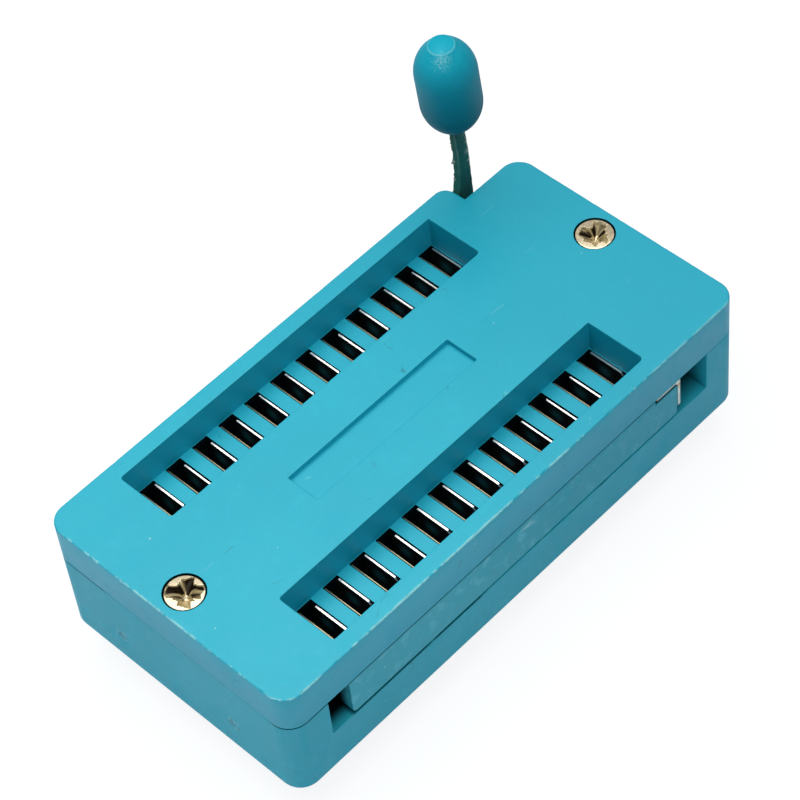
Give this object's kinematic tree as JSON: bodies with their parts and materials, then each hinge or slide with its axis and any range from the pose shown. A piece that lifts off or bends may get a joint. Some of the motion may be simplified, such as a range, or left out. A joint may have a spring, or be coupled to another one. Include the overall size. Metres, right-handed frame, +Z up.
{
  "type": "zero-insertion-force test socket",
  "caption": "Teal chip test socket for wide dual-in-line packages: a slotted cover over rows of fork contacts, a sliding comb, and a cam lever with a capsule knob.",
  "frame": {"origin": "centre of the contact field, on the plane that the feet under the base stand on", "axes": "+X towards the right-hand row of contacts, +Y along the length towards the lever, +Z up, away from the circuit board"},
  "size_m": [0.0242, 0.045, 0.0296],
  "materials": {
    "cover_plastic": "moulded teal thermoplastic, fine satin, scuffed edges",
    "base_plastic": "moulded teal thermoplastic, fine satin",
    "slider_plastic": "moulded teal thermoplastic, slightly frosted on its sliding faces",
    "knob_plastic": "smooth teal thermoplastic",
    "contact_metal": "bright tin plate over spring alloy",
    "lever_steel": "plated spring steel with sheared edges",
    "shaft_steel": "turned steel, lightly oiled",
    "plate_steel": "bare spring steel with a warm cast",
    "screw_steel": "nickel plate with a warm cast"
  },
  "bodies": {
    "root": {"base_housing": "base_plastic", "top_cover": "cover_plastic", "screw_near": "screw_steel", "screw_far": "screw_steel", "contact_left_01": "contact_metal", "contact_left_02": "contact_metal", "contact_left_03": "contact_metal", "contact_left_04": "contact_metal", "contact_left_05": "contact_metal", "contact_left_06": "contact_metal", "contact_left_07": "contact_metal", "contact_left_08": "contact_metal", "contact_left_09": "contact_metal", "contact_left_10": "contact_metal", "contact_left_11": "contact_metal", "contact_left_12": "contact_metal", "contact_right_01": "contact_metal", "contact_right_02": "contact_metal", "contact_right_03": "contact_metal", "contact_right_04": "contact_metal", "contact_right_05": "contact_metal", "contact_right_06": "contact_metal", "contact_right_07": "contact_metal", "contact_right_08": "contact_metal", "contact_right_09": "contact_metal", "contact_right_10": "contact_metal", "contact_right_11": "contact_metal", "contact_right_12": "contact_metal"},
    "lever": {"cam_shaft": "shaft_steel", "lever_arm": "lever_steel", "lever_knob": "knob_plastic"},
    "slider": {"cam_slider": "slider_plastic", "wear_plate": "plate_steel"}
  },
  "joints": [
    {"name": "lever_hinge", "type": "hinge", "parent": "root", "child": "lever", "pos_m": [0, 0.01885, 0.00601], "axis": [-1, 0, 0], "range_deg": [0, 90]},
    {"name": "slider_travel", "type": "slide", "parent": "root", "child": "slider", "axis": [0, -1, 0], "range_m": [0, 0.0007]}
  ],
  "couplings": [
    {"joint": "lever_hinge", "follows": "slider_travel", "rad_per_m": 2244}
  ]
}
